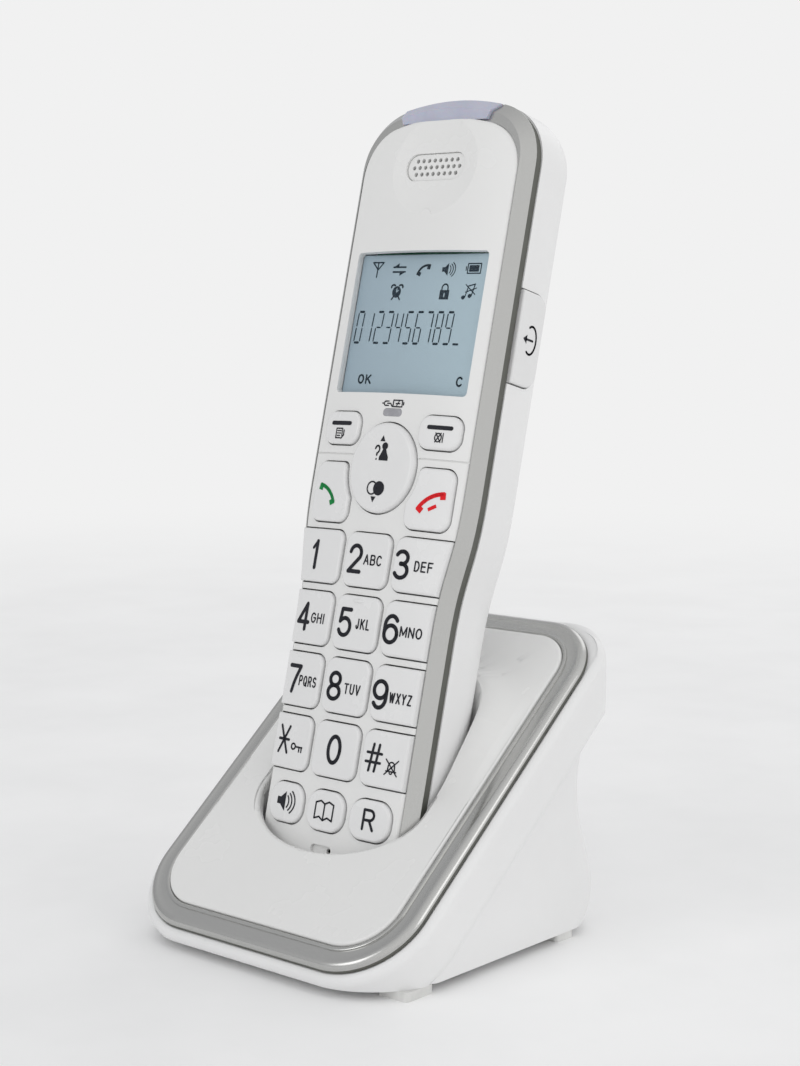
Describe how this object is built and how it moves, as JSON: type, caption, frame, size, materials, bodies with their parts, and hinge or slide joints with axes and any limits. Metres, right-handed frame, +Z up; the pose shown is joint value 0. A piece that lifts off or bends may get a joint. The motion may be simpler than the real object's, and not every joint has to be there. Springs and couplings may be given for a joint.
{
  "type": "cordless phone with charging base",
  "caption": "Upright cordless handset with keypad and display, standing tilted in a sloped charging base.",
  "frame": {"origin": "middle of the whole phone's plan, on the surface the base stands on", "axes": "+Z up, -Y the side the keypad faces, +X to the right seen from the front; the handset leans back along +Y"},
  "size_m": [0.081, 0.0851, 0.1857],
  "materials": {
    "white_abs": "satin",
    "silver_paint": "satin metallic",
    "grey_band": "matt",
    "frosted_lilac": "frosted",
    "clear_lens": "clear",
    "lcd": "satin",
    "led_grey": "translucent",
    "board_green": "solder mask",
    "silicone": "matt",
    "cell_label": "printed sleeve",
    "nickel": "plated",
    "black_part": "matt",
    "rubber_white": "matt"
  },
  "bodies": {
    "base": {"base_cover": "white_abs", "base_well": "white_abs", "base_rim": "silver_paint", "base_body": "white_abs", "base_bottom_plate": "white_abs", "base_feet": "rubber_white", "base_screws": "nickel", "base_board": "board_green", "power_inlet": "black_part", "contact_block": "black_part"},
    "handset": {"handset_front_shell": "white_abs", "handset_trim_frame": "silver_paint", "handset_seam_band": "grey_band", "ring_light_window": "frosted_lilac", "handset_back_shell": "white_abs", "display_lens": "clear_lens", "lcd_module": "lcd", "charge_led_lens": "led_grey", "earpiece_grille": "white_abs", "earpiece_receiver": "black_part", "keypad_mat": "silicone", "handset_board": "board_green", "microphone": "black_part", "battery_cell_left": "cell_label", "battery_cell_right": "cell_label", "battery_contacts": "nickel", "ringer_loudspeaker": "black_part", "charge_plates": "nickel", "handset_screws": "nickel"},
    "key_1": {"key_1": "white_abs"},
    "key_2": {"key_2": "white_abs"},
    "key_3": {"key_3": "white_abs"},
    "key_4": {"key_4": "white_abs"},
    "key_5": {"key_5": "white_abs"},
    "key_6": {"key_6": "white_abs"},
    "key_7": {"key_7": "white_abs"},
    "key_8": {"key_8": "white_abs"},
    "key_9": {"key_9": "white_abs"},
    "key_star": {"key_star": "white_abs"},
    "key_0": {"key_0": "white_abs"},
    "key_hash": {"key_hash": "white_abs"},
    "speaker_key": {"speaker_key": "white_abs"},
    "phonebook_key": {"phonebook_key": "white_abs"},
    "recall_key": {"recall_key": "white_abs"},
    "call_key": {"call_key": "white_abs"},
    "end_key": {"end_key": "white_abs"},
    "soft_key_left": {"soft_key_left": "white_abs"},
    "soft_key_right": {"soft_key_right": "white_abs"},
    "nav_rocker": {"nav_rocker": "white_abs"},
    "side_key": {"side_key": "white_abs"},
    "battery_door": {"battery_door": "white_abs"},
    "contact_left": {"charge_contact_left": "nickel"},
    "contact_right": {"charge_contact_right": "nickel"}
  },
  "joints": [
    {"name": "handset_lift", "type": "slide", "parent": "base", "child": "handset", "axis": [0, 0.2453, 0.9694], "range_m": [0, 0.11]},
    {"name": "key_1_press", "type": "slide", "parent": "handset", "child": "key_1", "axis": [0, 0.9694, -0.2453], "range_m": [0, 0.0007], "stiffness_N_per_m": 900, "springref_m": -0.0004},
    {"name": "key_2_press", "type": "slide", "parent": "handset", "child": "key_2", "axis": [0, 0.9694, -0.2453], "range_m": [0, 0.0007], "stiffness_N_per_m": 900, "springref_m": -0.0004},
    {"name": "key_3_press", "type": "slide", "parent": "handset", "child": "key_3", "axis": [0, 0.9694, -0.2453], "range_m": [0, 0.0007], "stiffness_N_per_m": 900, "springref_m": -0.0004},
    {"name": "key_4_press", "type": "slide", "parent": "handset", "child": "key_4", "axis": [0, 0.9694, -0.2453], "range_m": [0, 0.0007], "stiffness_N_per_m": 900, "springref_m": -0.0004},
    {"name": "key_5_press", "type": "slide", "parent": "handset", "child": "key_5", "axis": [0, 0.9694, -0.2453], "range_m": [0, 0.0007], "stiffness_N_per_m": 900, "springref_m": -0.0004},
    {"name": "key_6_press", "type": "slide", "parent": "handset", "child": "key_6", "axis": [0, 0.9694, -0.2453], "range_m": [0, 0.0007], "stiffness_N_per_m": 900, "springref_m": -0.0004},
    {"name": "key_7_press", "type": "slide", "parent": "handset", "child": "key_7", "axis": [0, 0.9694, -0.2453], "range_m": [0, 0.0007], "stiffness_N_per_m": 900, "springref_m": -0.0004},
    {"name": "key_8_press", "type": "slide", "parent": "handset", "child": "key_8", "axis": [0, 0.9694, -0.2453], "range_m": [0, 0.0007], "stiffness_N_per_m": 900, "springref_m": -0.0004},
    {"name": "key_9_press", "type": "slide", "parent": "handset", "child": "key_9", "axis": [0, 0.9694, -0.2453], "range_m": [0, 0.0007], "stiffness_N_per_m": 900, "springref_m": -0.0004},
    {"name": "key_star_press", "type": "slide", "parent": "handset", "child": "key_star", "axis": [0, 0.9694, -0.2453], "range_m": [0, 0.0007], "stiffness_N_per_m": 900, "springref_m": -0.0004},
    {"name": "key_0_press", "type": "slide", "parent": "handset", "child": "key_0", "axis": [0, 0.9694, -0.2453], "range_m": [0, 0.0007], "stiffness_N_per_m": 900, "springref_m": -0.0004},
    {"name": "key_hash_press", "type": "slide", "parent": "handset", "child": "key_hash", "axis": [0, 0.9694, -0.2453], "range_m": [0, 0.0007], "stiffness_N_per_m": 900, "springref_m": -0.0004},
    {"name": "speaker_key_press", "type": "slide", "parent": "handset", "child": "speaker_key", "axis": [0, 0.9694, -0.2453], "range_m": [0, 0.0007], "stiffness_N_per_m": 900, "springref_m": -0.0004},
    {"name": "phonebook_key_press", "type": "slide", "parent": "handset", "child": "phonebook_key", "axis": [0, 0.9694, -0.2453], "range_m": [0, 0.0007], "stiffness_N_per_m": 900, "springref_m": -0.0004},
    {"name": "recall_key_press", "type": "slide", "parent": "handset", "child": "recall_key", "axis": [0, 0.9694, -0.2453], "range_m": [0, 0.0007], "stiffness_N_per_m": 900, "springref_m": -0.0004},
    {"name": "call_key_press", "type": "slide", "parent": "handset", "child": "call_key", "axis": [0, 0.9694, -0.2453], "range_m": [0, 0.0007], "stiffness_N_per_m": 900, "springref_m": -0.0004},
    {"name": "end_key_press", "type": "slide", "parent": "handset", "child": "end_key", "axis": [0, 0.9694, -0.2453], "range_m": [0, 0.0007], "stiffness_N_per_m": 900, "springref_m": -0.0004},
    {"name": "soft_key_left_press", "type": "slide", "parent": "handset", "child": "soft_key_left", "axis": [0, 0.9694, -0.2453], "range_m": [0, 0.0007], "stiffness_N_per_m": 900, "springref_m": -0.0004},
    {"name": "soft_key_right_press", "type": "slide", "parent": "handset", "child": "soft_key_right", "axis": [0, 0.9694, -0.2453], "range_m": [0, 0.0007], "stiffness_N_per_m": 900, "springref_m": -0.0004},
    {"name": "nav_rocker_tilt", "type": "hinge", "parent": "handset", "child": "nav_rocker", "pos_m": [0, 0.00521, 0.1032], "axis": [1, 0, 0], "range_deg": [-3.5, 3.5], "stiffness_Nm_per_rad": 0.12},
    {"name": "side_key_press", "type": "slide", "parent": "handset", "child": "side_key", "axis": [-1, 0, 0], "range_m": [0, 0.0005], "stiffness_N_per_m": 900, "springref_m": -0.0004},
    {"name": "battery_door_slide", "type": "slide", "parent": "handset", "child": "battery_door", "axis": [0, -0.2453, -0.9694], "range_m": [0, 0.012]},
    {"name": "contact_left_flex", "type": "hinge", "parent": "base", "child": "contact_left", "pos_m": [-0.009, -0.01636, 0.00695], "axis": [-1, 0, 0], "range_deg": [0, 5], "stiffness_Nm_per_rad": 0.6},
    {"name": "contact_right_flex", "type": "hinge", "parent": "base", "child": "contact_right", "pos_m": [0.009, -0.01636, 0.00695], "axis": [-1, 0, 0], "range_deg": [0, 5], "stiffness_Nm_per_rad": 0.6}
  ]
}
